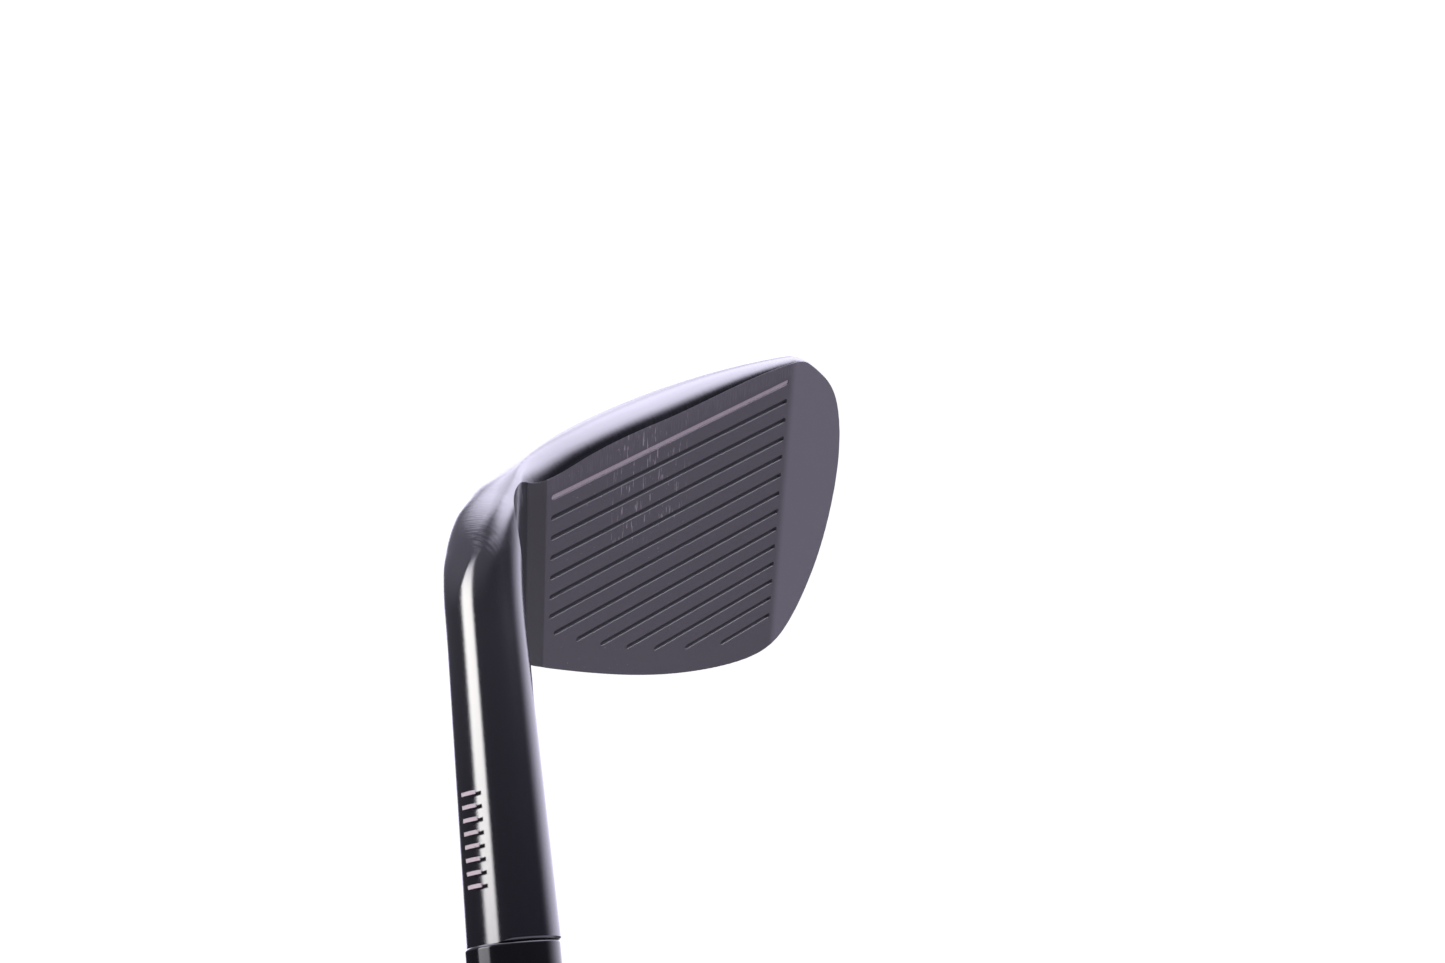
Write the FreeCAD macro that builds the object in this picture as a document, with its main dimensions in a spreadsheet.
"""Iron golf club, right-handed, short iron with a cavity back and a black finish.

Row frame, in millimetres: the shaft's axis is +Z and the origin is the middle of the butt's flat
end, so the club stands grip down and head up. The face looks towards -Y and the toe points to +X.

The head is drawn in its own frame and then placed. In the head frame the club stands on its sole:
+X runs from heel to toe, +Y to the target, +Z up from the ground, and the origin is the point
where the shaft's axis meets the ground. On the face, u runs to the toe along the score lines, v
runs up the face from the lowest score line, and depth runs into the head from the face.
"""

import FreeCAD
import Part
import math
import os
import re

import Sketcher
from FreeCAD import Placement, Rotation, Vector

DIMENSIONS = [
    # whole club
    ("club_length", 914.4),
    ("lie_angle", 64.0),
    ("loft_angle", 41.0),
    # hosel and its bore, in distance up the shaft's axis from the ground
    ("hosel_top", 69.5),
    ("hosel_radius", 6.86),
    ("hosel_foot", -4.0),
    ("hosel_foot_radius", 5.536),
    ("bore_radius", 4.83),
    ("bore_bottom", 38.0),
    # face and score lines
    ("score_line_toe_shift", 11.2),
    ("score_line_height", 9.05),
    ("score_line_length", 56.2),
    ("score_line_count", 14.0),
    ("score_line_pitch", 3.6),
    ("score_line_width", 0.9),
    ("score_line_depth", 0.45),
    ("score_line_margin_heel", 6.0),
    ("score_line_margin_toe", 4.3),
    ("paint_depth", 0.3),
    ("face_flat_heel_end", 4.7),
    ("face_heel_blend", 8.0),
    ("face_heel_turn", 60.0),
    ("web_start", 14.0),
    ("web_start_radius", 5.86),
    ("web_end", -2.0),
    ("web_height", 4.0),
    ("web_end_radius", 4.2),
    # sole, back and top line
    ("leading_edge_radius", 4.2),
    ("front_allowance", 0.31),
    ("bounce_angle", 5.7),
    ("sole_low_point", 5.0),
    ("sole_rear", 12.5),
    ("trailing_edge_radius", 3.0),
    ("sole_camber_toe", 205.0),
    ("sole_camber_heel", 97.0),
    ("sole_camber_centre", 25.7),
    ("sole_nose_rise", 0.25),
    ("leading_edge_fade", 8.0),
    ("heel_bend_at", 3.2),
    ("heel_bend_offset", 5.95),
    ("heel_back_at", 17.5),
    ("heel_back_slope", 0.85),
    ("top_line_depth", 5.6),
    ("edge_radius", 0.8),
    ("blade_reach", 30.0),
    ("muscle_height", 13.0),
    ("muscle_depth", 14.2),
    ("blade_height", 21.0),
    ("blade_depth", 8.2),
    # cavity, badge and tape
    ("cavity_floor", 3.0),
    ("cavity_corner", 4.0),
    ("badge_gap", 0.25),
    ("tape_thickness", 0.3),
    ("badge_thickness", 1.2),
    # identification marks on the heel side of the hosel
    ("mark_count", 8.0),
    ("mark_first", 48.5),
    ("mark_pitch", 1.85),
    ("mark_width", 0.55),
    ("mark_span", 2.6),
    ("mark_depth", 0.15),
    ("mark_turn", -165.7),
    # ferrule
    ("ferrule_length", 22.0),
    ("ferrule_radius", 6.7),
    ("ferrule_middle_radius", 6.1),
    ("ferrule_end_radius", 5.15),
    # shaft
    ("shaft_butt_radius", 7.62),
    ("shaft_tip_radius", 4.7),
    ("shaft_tip_at", 40.6),
    ("shaft_wall_butt", 0.38),
    ("shaft_wall_tip", 0.62),
    ("first_step_at", 350.0),
    ("step_pitch", 36.0),
    ("step_count", 11.0),
    ("step_slope", 1.5),
    ("band_from", 279.0),
    ("band_to", 339.0),
    ("band_thickness", 0.1),
    # brass weight in the shaft's tip
    ("tip_weight_length", 18.0),
    ("tip_weight_head", 1.6),
    ("tip_weight_clearance", 0.05),
    # grip, cap and tape
    ("grip_length", 267.0),
    ("grip_butt_radius", 13.6),
    ("grip_middle_radius", 11.4),
    ("grip_low_radius", 9.6),
    ("grip_lip_radius", 8.6),
    ("grip_tape_thickness", 0.13),
    ("grip_tape_end", 260.0),
    ("cap_height", 8.0),
    ("cap_web", 5.0),
    ("cap_flat_radius", 11.2),
    ("cap_edge_height", 2.4),
    ("vent_radius", 1.25),
]

# The outline of the head seen square to the face, in (u, v): a closed smooth curve through these
# points, clockwise from the top line's heel end. Along the sole it lies clear of the blade.
TOP_LINE = [(-10.0, 24.6), (3.8, 33.6), (20.5, 42.7), (36.9, 49.8), (52.5, 54.0)]
TOE_AND_SOLE = [
    (61.2, 51.8), (66.8, 44.6), (70.7, 34.9), (72.6, 21.0), (70.2, 8.2), (64.7, 1.0), (56.0, -5.5),
    (38.0, -12.0), (14.0, -13.0), (0.0, -10.4), (-9.0, -6.0), (-14.5, 0.5), (-16.4, 8.0), (-15.2, 17.0),
]

# Stations along X where the blade's side profiles are drawn, from the heel to past the toe.
BLADE_STATIONS = [-14.0, -6.0, 2.0, 10.0, 18.0, 25.7, 36.0, 47.0, 58.0, 70.0, 86.0]

# Height up the face where the side profiles end, above the top line.
PROFILE_TOP = 62.0
# The leading edge's radius never falls below this share of its full size.
LEAST_NOSE = 0.35
# The sole's rise behind its low line is the square of the distance over this length.
SOLE_ROUND = 100.0
# Reach of the tools that cut clear of the head on every side.
CLEAR = 60.0
BEYOND_TOE = 100.0

# The cavity in the back, in (u, v): corners of a rounded polygon.
CAVITY_CORNERS = [(2.0, 13.5), (65.0, 13.5), (64.5, 34.0), (58.0, 45.5), (49.0, 46.5), (6.0, 29.0)]

doc = FreeCAD.newDocument("iron_golf_club")
sheet = doc.addObject("Spreadsheet::Sheet", "dimensions")
for row, (alias, number) in enumerate(DIMENSIONS, start=1):
    sheet.set(f"A{row}", alias)
    sheet.set(f"B{row}", str(number))
    sheet.setAlias(f"B{row}", alias)
doc.recompute()

ALIASES = {alias for alias, _ in DIMENSIONS}
finished = []


def size(alias):
    """A driving dimension, as a number."""
    return float(sheet.get(alias))


def bound(expression):
    """The expression with every alias pointed at the spreadsheet."""
    return re.sub(
        r"[a-z_]+", lambda m: "dimensions." + m.group() if m.group() in ALIASES else m.group(), expression
    )


def keep(feature, label):
    """Names a finished sub-part, so that it is written to its own file."""
    feature.Label = label
    finished.append(feature)
    return feature


# ---------------------------------------------------------------- turned pieces


def turned(label, corners):
    """A body turned about the shaft's axis. Each corner is (radius, height) as expressions."""
    body = doc.addObject("PartDesign::Body", label + "_body")
    plane = next(p for p in body.Origin.OriginFeatures if p.Role == "XZ_Plane")
    sketch = body.newObject("Sketcher::SketchObject", label + "_profile")
    sketch.AttachmentSupport = [(plane, "")]
    sketch.MapMode = "FlatFace"
    doc.recompute()
    scratch = doc.addObject("App::FeaturePython", label + "_values")
    points = []
    for index, pair in enumerate(corners):
        for axis, expression in zip("xy", pair):
            name = f"{axis}{index}"
            scratch.addProperty("App::PropertyFloat", name)
            scratch.setExpression(name, bound(expression))
    doc.recompute()
    for index in range(len(corners)):
        points.append(Vector(getattr(scratch, f"x{index}"), getattr(scratch, f"y{index}"), 0))
    doc.removeObject(scratch.Name)
    count = len(points)
    for index in range(count):
        sketch.addGeometry(Part.LineSegment(points[index], points[(index + 1) % count]))
    for index in range(count):
        sketch.addConstraint(Sketcher.Constraint("Coincident", index, 2, (index + 1) % count, 1))
    for index, pair in enumerate(corners):
        for kind, expression, number in zip(("DistanceX", "DistanceY"), pair, points[index][:2]):
            if expression == "0":
                axis_line = -2 if kind == "DistanceX" else -1
                sketch.addConstraint(Sketcher.Constraint("PointOnObject", index, 1, axis_line))
                continue
            at = sketch.addConstraint(Sketcher.Constraint(kind, -1, 1, index, 1, number))
            sketch.setExpression(f"Constraints[{at}]", bound(expression))
    turn = body.newObject("PartDesign::Revolution", label + "_turn")
    turn.Profile = sketch
    turn.ReferenceAxis = (sketch, ["V_Axis"])
    turn.Angle = 360.0
    doc.recompute()
    return keep(body, label)


def grip_cap():
    turned("grip_cap", [
        ("vent_radius", "0"),
        ("cap_flat_radius", "0"),
        ("grip_butt_radius - 0.5", "cap_edge_height * 0.45"),
        ("grip_butt_radius", "cap_edge_height"),
        ("grip_butt_radius", "cap_height"),
        ("shaft_butt_radius", "cap_height"),
        ("shaft_butt_radius", "cap_web"),
        ("vent_radius", "cap_web"),
    ])


def grip():
    inner = "shaft_butt_radius + grip_tape_thickness"
    turned("grip", [
        (inner, "cap_height"),
        ("grip_butt_radius", "cap_height"),
        ("grip_butt_radius - 0.3", "cap_height + 12"),
        ("grip_middle_radius", "grip_length * 0.38"),
        ("grip_low_radius", "grip_length * 0.72"),
        ("grip_lip_radius", "grip_length - 2"),
        ("grip_lip_radius - 0.35", "grip_length"),
        (inner, "grip_length"),
    ])


def grip_tape():
    turned("grip_tape", [
        ("shaft_butt_radius", "cap_height"),
        ("shaft_butt_radius + grip_tape_thickness", "cap_height"),
        ("shaft_butt_radius + grip_tape_thickness", "grip_tape_end"),
        ("shaft_butt_radius", "grip_tape_end"),
    ])


def shaft():
    """A steel tube that steps down in radius from the butt to the tip, with a wall that thickens."""
    steps = int(size("step_count"))
    fall = "(shaft_butt_radius - shaft_tip_radius) / step_count"
    thicken = "(shaft_wall_tip - shaft_wall_butt) / step_count"
    outer = [("shaft_butt_radius", "cap_web")]
    inner = [("shaft_butt_radius - shaft_wall_butt", "cap_web")]
    for i in range(steps):
        at = f"first_step_at + {i} * step_pitch"
        for done, place in ((i, at), (i + 1, at + " + step_slope")):
            radius = f"shaft_butt_radius - {done} * {fall}"
            outer.append((radius, place))
            inner.append((f"{radius} - shaft_wall_butt - {done} * {thicken}", place))
    tip = "club_length - shaft_tip_at"
    outer.append(("shaft_tip_radius", tip))
    inner.append(("shaft_tip_radius - shaft_wall_tip", tip))
    turned("shaft", outer + inner[::-1])


def shaft_band():
    turned("shaft_band", [
        ("shaft_butt_radius", "band_from"),
        ("shaft_butt_radius + band_thickness", "band_from"),
        ("shaft_butt_radius + band_thickness", "band_to"),
        ("shaft_butt_radius", "band_to"),
    ])


def ferrule():
    end = "club_length - hosel_top - ferrule_length"
    seat = "club_length - hosel_top"
    turned("ferrule", [
        ("shaft_tip_radius", end),
        ("ferrule_end_radius - 0.2", end),
        ("ferrule_end_radius", end + " + 0.5"),
        ("ferrule_middle_radius", end + " + ferrule_length * 0.5"),
        ("ferrule_radius", end + " + ferrule_length * 0.85"),
        ("ferrule_radius", seat + " - 0.3"),
        ("ferrule_radius - 0.3", seat),
        ("shaft_tip_radius", seat),
    ])


def hosel_epoxy():
    """The cured adhesive between the shaft's tip and the hosel's bore, and in the bore's bottom."""
    above_weight = "club_length - shaft_tip_at + tip_weight_head"
    turned("hosel_epoxy", [
        ("shaft_tip_radius", "club_length - hosel_top"),
        ("bore_radius", "club_length - hosel_top"),
        ("bore_radius", "club_length - bore_bottom"),
        ("0", "club_length - bore_bottom"),
        ("0", above_weight),
        ("shaft_tip_radius", above_weight),
    ])


def tip_weight():
    tip = "club_length - shaft_tip_at"
    shank = "shaft_tip_radius - shaft_wall_tip - tip_weight_clearance"
    turned("tip_weight", [
        ("0", tip + " - tip_weight_length"),
        (shank, tip + " - tip_weight_length"),
        (shank, tip),
        ("shaft_tip_radius", tip),
        ("shaft_tip_radius", tip + " + tip_weight_head"),
        ("0", tip + " + tip_weight_head"),
    ])


# ---------------------------------------------------------------- the head


LIE = math.radians(size("lie_angle"))
LOFT = math.radians(size("loft_angle"))
AXIS = Vector(-math.cos(LIE), 0, math.sin(LIE))
UP_FACE = Vector(0, -math.sin(LOFT), math.cos(LOFT))
INTO_HEAD = Vector(0, -math.cos(LOFT), -math.sin(LOFT))
SCORE_ORIGIN = Vector(size("score_line_toe_shift"), 0, size("score_line_height"))
FACE_PLACEMENT = Placement(SCORE_ORIGIN, Rotation(Vector(1, 0, 0), UP_FACE, INTO_HEAD, "XYZ"))
HOSEL_ROTATION = Rotation(Vector(0, 0, 1), AXIS)
HEAD_PLACEMENT = Placement(
    Vector(0, 0, size("club_length")),
    Rotation(
        Vector(math.sin(LIE), 0, math.cos(LIE)),
        Vector(0, -1, 0),
        Vector(math.cos(LIE), 0, -math.sin(LIE)),
        "XYZ",
    ),
)


def face_point(u, v, depth=0.0):
    """A point of the face's own coordinates, in the head's frame."""
    return FACE_PLACEMENT.multVec(Vector(u, v, depth))


def outline_face():
    """The flat region inside the head's outline, in the face's own coordinates."""
    curve = Part.BSplineCurve()
    curve.interpolate(Points=[Vector(u, v, 0) for u, v in TOP_LINE + TOE_AND_SOLE], PeriodicFlag=True)
    return Part.Face(Part.Wire(curve.toShape()))


def rounded_polygon(corners, radius):
    """A closed wire through the corners, each rounded by an arc, in the face's own coordinates."""
    points = [Vector(*c, 0) for c in corners]
    edges, ends = [], []
    for i, corner in enumerate(points):
        back = (points[i - 1] - corner).normalize()
        on = (points[(i + 1) % len(points)] - corner).normalize()
        half = back.getAngle(on) / 2
        reach = radius / math.tan(half)
        bisector = (back + on).normalize()
        middle = corner + bisector * (radius / math.sin(half) - radius)
        ends.append((corner + back * reach, middle, corner + on * reach))
    for i, (first, middle, last) in enumerate(ends):
        edges.append(Part.Arc(first, middle, last).toShape())
        edges.append(Part.LineSegment(last, ends[(i + 1) % len(ends)][0]).toShape())
    return Part.Wire(edges)


def sole_height(x):
    """Height of the sole's lowest line above the ground: it rises to the toe and to the heel."""
    camber = size("sole_camber_toe" if x > size("sole_camber_centre") else "sole_camber_heel")
    return (x - size("sole_camber_centre")) ** 2 / (2 * camber)


def blade_section(x):
    """The blade's side profile at x: front, leading edge, sole, trailing edge and back."""
    low = sole_height(x)
    radius = size("leading_edge_radius") * max(LEAST_NOSE, 1 - low / size("leading_edge_fade"))
    bounce = math.radians(size("bounce_angle"))
    front = size("front_allowance")
    # the leading edge's centre keeps the arc tangent to the front line
    centre_depth = radius - front
    sole_reach = size("sole_low_point")
    centre_z = low + size("sole_nose_rise") + radius * math.cos(bounce)
    height = centre_z - SCORE_ORIGIN.z
    centre_y = -(centre_depth + math.sin(LOFT) * height) / math.cos(LOFT)
    centre = Vector(x, centre_y, centre_z)
    out = Vector(0, math.cos(LOFT), math.sin(LOFT))
    tangent = centre + out * radius
    under = centre + Vector(0, math.sin(bounce), -math.cos(bounce)) * radius
    bend = (out + Vector(0, math.sin(bounce), -math.cos(bounce))).normalize()
    lowest = Vector(x, -sole_reach, low)
    rear_z = low + (size("sole_rear") - sole_reach) ** 2 / SOLE_ROUND
    rear = Vector(x, -size("sole_rear"), rear_z)
    edge = size("trailing_edge_radius")
    rear_top = rear + Vector(0, -edge, edge)
    rear_middle = rear + Vector(0, -edge * math.sin(math.pi / 4), edge * (1 - math.cos(math.pi / 4)))

    def at(v, depth):
        point = face_point(0, v, depth)
        return Vector(x, point.y, point.z)

    front_top = at(PROFILE_TOP, -front)
    muscle = at(size("muscle_height"), size("muscle_depth"))
    blade = at(size("blade_height"), size("blade_depth"))
    back_top = at(PROFILE_TOP, size("top_line_depth"))
    return Part.Wire([
        Part.LineSegment(front_top, tangent).toShape(),
        Part.Arc(tangent, centre + bend * radius, under).toShape(),
        Part.Arc(under, lowest, rear).toShape(),
        Part.Arc(rear, rear_middle, rear_top).toShape(),
        Part.LineSegment(rear_top, muscle).toShape(),
        Part.LineSegment(muscle, blade).toShape(),
        Part.LineSegment(blade, back_top).toShape(),
        Part.LineSegment(back_top, front_top).toShape(),
    ])


def add_shape(name, shape):
    """A document object that holds a shape worked out here."""
    feature = doc.addObject("Part::Feature", name)
    feature.Shape = shape
    return feature


def joined(kind, name, base, tool):
    """A boolean of two document objects."""
    feature = doc.addObject(kind, name)
    feature.Base = base
    feature.Tool = tool
    feature.Refine = False
    return feature


def heel_block():
    """Everything above the heel's curve, which runs from the sole up to the hosel's outer side."""
    start_x = size("heel_bend_at")
    low = sole_height(start_x)
    tilt = math.atan((size("sole_camber_centre") - start_x) / size("sole_camber_heel"))
    inward = Vector(math.sin(tilt), 0, math.cos(tilt))
    toe_side = Vector(math.sin(LIE), 0, math.cos(LIE))
    start = Vector(start_x, 0, low)
    # the circle touches the sole at its start and the hosel's outer side at its end
    radius = (start.dot(toe_side) + size("heel_bend_offset")) / (1 - inward.dot(toe_side))
    centre = start + inward * radius
    end = centre - toe_side * radius
    middle = centre - (inward + toe_side).normalize() * radius
    under_toe = start + Vector(math.cos(tilt), 0, -math.sin(tilt)) * CLEAR
    above_hosel = end + AXIS * BEYOND_TOE - toe_side * BEYOND_TOE / 10
    corners = [
        start,
        under_toe,
        Vector(BEYOND_TOE, 0, under_toe.z),
        Vector(BEYOND_TOE, 0, above_hosel.z),
        above_hosel,
        end,
    ]
    edges = [Part.LineSegment(p, q).toShape() for p, q in zip(corners, corners[1:])]
    edges.append(Part.Arc(end, middle, start).toShape())
    block = Part.Face(Part.Wire(edges)).extrude(Vector(0, 2 * CLEAR, 0))
    block.translate(Vector(0, -CLEAR, 0))
    return block


def blade():
    """The blade: lofted side profiles, trimmed to the head's outline and the heel's curve."""
    skin = Part.makeLoft([blade_section(x) for x in BLADE_STATIONS], True, False)
    return add_shape("blade_forging", skin.common(on_face(outline_plate())).common(heel_block()))


def outline_plate():
    """A thick plate of the head's outline, its front rim rounded and its heel cut back behind."""
    reach = size("blade_reach")
    plate = outline_face().extrude(Vector(0, 0, reach))
    rim = [edge for edge in plate.Edges if edge.BoundBox.ZMax < 0.001]
    plate = plate.makeFillet(size("edge_radius"), rim)
    heel = -size("heel_back_at")
    corners = [
        Vector(heel, -CLEAR, 0),
        Vector(heel + size("heel_back_slope") * reach, -CLEAR, reach),
        Vector(heel - CLEAR, -CLEAR, reach),
        Vector(heel - CLEAR, -CLEAR, 0),
    ]
    wedge = Part.Face(Part.makePolygon(corners + corners[:1])).extrude(Vector(0, 2 * CLEAR, 0))
    return plate.cut(wedge)


def hosel():
    """The hosel's cone, run down through the heel."""
    cone = doc.addObject("Part::Cone", "hosel_cone")
    cone.setExpression("Radius1", bound("hosel_foot_radius"))
    cone.setExpression("Radius2", bound("hosel_radius"))
    cone.setExpression("Height", bound("hosel_top - hosel_foot"))
    cone.Placement = Placement(AXIS * size("hosel_foot"), HOSEL_ROTATION)
    return cone


def face_cutter():
    """The milling cut that makes the face flat and sweeps it up to the hosel at the heel."""
    flat_end = -size("face_flat_heel_end")
    radius = size("face_heel_blend")
    turn = math.radians(size("face_heel_turn"))
    rise = Vector(flat_end - radius * math.sin(turn), -radius * (1 - math.cos(turn)), 0)
    halfway = Vector(flat_end - radius * math.sin(turn / 2), -radius * (1 - math.cos(turn / 2)), 0)
    away = rise + Vector(-math.cos(turn), -math.sin(turn), 0) * CLEAR
    corners = [
        Vector(flat_end, 0, 0),
        Vector(BEYOND_TOE, 0, 0),
        Vector(BEYOND_TOE, away.y, 0),
        away,
        rise,
    ]
    edges = [Part.LineSegment(a, b).toShape() for a, b in zip(corners, corners[1:])]
    edges.append(Part.Arc(rise, halfway, corners[0]).toShape())
    profile = Part.Face(Part.Wire(edges))
    # the profile lies in (u, depth), so it is turned upright before it is swept up the face
    profile.Placement = Placement(Vector(0, 0, 0), Rotation(Vector(1, 0, 0), 90))
    cutter = add_shape("face_cutter", profile.extrude(Vector(0, 2 * CLEAR, 0)))
    cutter.Placement = FACE_PLACEMENT.multiply(Placement(Vector(0, -CLEAR / 2, 0), Rotation()))
    return cutter


def top_line_circle():
    """Centre and radius of the arc that the top line follows, in (u, v)."""
    points = [Vector(*TOP_LINE[i], 0) for i in (0, 2, 4)]
    circle = Part.Arc(*points).toShape().Curve
    return circle.Center, circle.Radius


def score_line_span(number):
    """Height and heel end of one score line: the upper ones stop short of the top line."""
    height = number * size("score_line_pitch")
    centre, radius = top_line_circle()
    share = number / (size("score_line_count") - 1)
    # the margin narrows evenly over the upper half of the lines
    fall = size("score_line_margin_heel") - size("score_line_margin_toe")
    inner = radius - size("score_line_margin_heel") + fall * max(0.0, 2 * share - 1)
    reach = inner ** 2 - (height - centre.y) ** 2
    return height, max(centre.x - math.sqrt(reach), 0.0)


def score_lines(depth_from, depth_to):
    """The score lines' slots as solids, round-ended, between two depths."""
    radius = size("score_line_width") / 2
    toe_end = size("score_line_length")
    slots = []
    for number in range(int(size("score_line_count"))):
        height, heel_end = score_line_span(number)
        slots.append(slot(heel_end, toe_end, height, radius, depth_from, depth_to))
    return slots


def slot(heel_end, toe_end, height, radius, depth_from, depth_to):
    """One round-ended slot between two depths."""
    start, end = Vector(heel_end + radius, height, 0), Vector(toe_end - radius, height, 0)
    up, right = Vector(0, radius, 0), Vector(radius, 0, 0)
    wire = Part.Wire([
        Part.LineSegment(start - up, end - up).toShape(),
        Part.Arc(end - up, end + right, end + up).toShape(),
        Part.LineSegment(end + up, start + up).toShape(),
        Part.Arc(start + up, start - right, start - up).toShape(),
    ])
    solid = Part.Face(wire).extrude(Vector(0, 0, depth_to - depth_from))
    solid.translate(Vector(0, 0, depth_from))
    return solid


def cavity():
    """The cavity's hollow, from its floor out through the back."""
    floor = size("cavity_floor")
    wire = rounded_polygon(CAVITY_CORNERS, size("cavity_corner"))
    hollow = Part.Face(wire).extrude(Vector(0, 0, size("blade_reach") - floor))
    hollow.translate(Vector(0, 0, floor))
    return hollow


def cavity_plate(front, thickness, gap):
    """A plate of the cavity's outline, smaller by a gap all round, lying on its floor."""
    wire = rounded_polygon(CAVITY_CORNERS, size("cavity_corner")).makeOffset2D(-gap)
    plate = Part.Face(wire).extrude(Vector(0, 0, thickness))
    plate.translate(Vector(0, 0, front))
    return on_face(plate)


def heel_web():
    """The web that carries the heel of the face across to the hosel."""
    start = AXIS * size("web_start")
    end = face_point(size("web_end"), size("web_height"), size("web_end_radius"))
    web = doc.addObject("Part::Cone", "heel_web")
    web.setExpression("Radius1", bound("web_start_radius"))
    web.setExpression("Radius2", bound("web_end_radius"))
    web.Height = (end - start).Length
    web.Placement = Placement(start, Rotation(Vector(0, 0, 1), end - start))
    return web


def bore():
    """The bore that takes the shaft's tip."""
    hole = doc.addObject("Part::Cylinder", "hosel_bore")
    hole.setExpression("Radius", bound("bore_radius"))
    hole.setExpression("Height", bound("hosel_top - bore_bottom + 1"))
    hole.Placement = Placement(AXIS * size("bore_bottom"), HOSEL_ROTATION)
    return hole


def hosel_cone(shrink):
    """The hosel's outer cone as a plain solid, its radii made smaller by a given amount."""
    low, high = size("hosel_foot"), size("hosel_top")
    bottom, top = size("hosel_foot_radius") - shrink, size("hosel_radius") - shrink
    return Part.makeCone(bottom, top, high - low, AXIS * low, AXIS)


def identification_marks():
    """A row of short ticks round part of the hosel, as solids sunk into its surface."""
    skin = hosel_cone(0.0).cut(hosel_cone(size("mark_depth")))
    length, width, span = 2 * size("hosel_radius"), size("mark_width"), size("mark_span")
    marks = []
    for number in range(int(size("mark_count"))):
        tick = Part.makeBox(length, span, width, Vector(0, -span / 2, -width / 2))
        height = size("mark_first") + number * size("mark_pitch")
        tick.Placement = head_axis_placement(height, size("mark_turn"))
        marks.append(skin.common(tick))
    return Part.makeCompound(marks)


def head_axis_placement(height, turn):
    """A place on the shaft's axis in the head's frame, turned about it as seen in the row's frame."""
    in_row = Placement(Vector(0, 0, size("club_length") - height), Rotation(Vector(0, 0, 1), turn))
    return HEAD_PLACEMENT.inverse().multiply(in_row)


def on_face(shape):
    """The shape moved from the face's own coordinates to the head's."""
    shape.Placement = FACE_PLACEMENT.multiply(shape.Placement)
    return shape


def placed(feature, label):
    """Moves a finished piece of the head from the head's frame to the row's."""
    doc.recompute()
    solid = add_shape(label + "_piece", feature.Shape)
    solid.Placement = HEAD_PLACEMENT.multiply(solid.Placement)
    return keep(solid, label)


def head():
    """The forged head, with its face milled, score lines cut, cavity sunk and hosel bored."""
    post = joined("Part::Common", "hosel_in_heel", hosel(), add_shape("heel_block", heel_block()))
    body = joined("Part::Fuse", "blade_and_hosel", blade(), post)
    body = joined("Part::Fuse", "with_heel_web", body, heel_web())
    body = joined("Part::Cut", "milled_face", body, face_cutter())
    body = joined("Part::Cut", "with_cavity", body, add_shape("cavity_hollow", on_face(cavity())))
    clear = -size("cavity_floor")
    lines = Part.makeCompound(score_lines(clear, size("score_line_depth")))
    body = joined("Part::Cut", "with_score_lines", body, add_shape("score_line_slots", on_face(lines)))
    body = joined("Part::Cut", "with_bore", body, bore())
    marks = add_shape("mark_pockets", identification_marks())
    body = joined("Part::Cut", "with_marks", body, marks)
    placed(body, "head")


def hosel_mark_fill():
    placed(add_shape("mark_paint", identification_marks()), "hosel_mark_fill")


def score_line_paint():
    """The paint in the lowest score line, a little below the face."""
    depth = size("score_line_depth")
    fill = score_lines(depth - size("paint_depth"), depth)[0]
    placed(add_shape("lowest_line_paint", on_face(fill)), "score_line_paint")


def badge_tape():
    tape = cavity_plate(size("cavity_floor"), size("tape_thickness"), 2 * size("badge_gap"))
    placed(add_shape("tape_plate", tape), "badge_tape")


def cavity_badge():
    front = size("cavity_floor") + size("tape_thickness")
    badge = cavity_plate(front, size("badge_thickness"), size("badge_gap"))
    placed(add_shape("badge_plate", badge), "cavity_badge")


def finish():
    """Checks every object and every sub-part, then writes the sub-parts."""
    doc.recompute()
    for feature in doc.Objects:
        if {"Invalid", "Error"} & set(feature.State):
            raise RuntimeError(f"{feature.Name} failed: {feature.State}")
    os.makedirs("parts", exist_ok=True)
    for feature in finished:
        shape = feature.Shape
        if shape.isNull() or not shape.isValid():
            raise RuntimeError(f"{feature.Label} has no valid shape")
        shape.exportStep(f"parts/{feature.Label}.step")
        print(f"{feature.Label}: {len(shape.Solids)} solids, {shape.Volume:.1f} mm3")


for build in (
    head,
    score_line_paint,
    hosel_mark_fill,
    badge_tape,
    cavity_badge,
    ferrule,
    hosel_epoxy,
    tip_weight,
    shaft,
    shaft_band,
    grip_tape,
    grip,
    grip_cap,
):
    build()
finish()
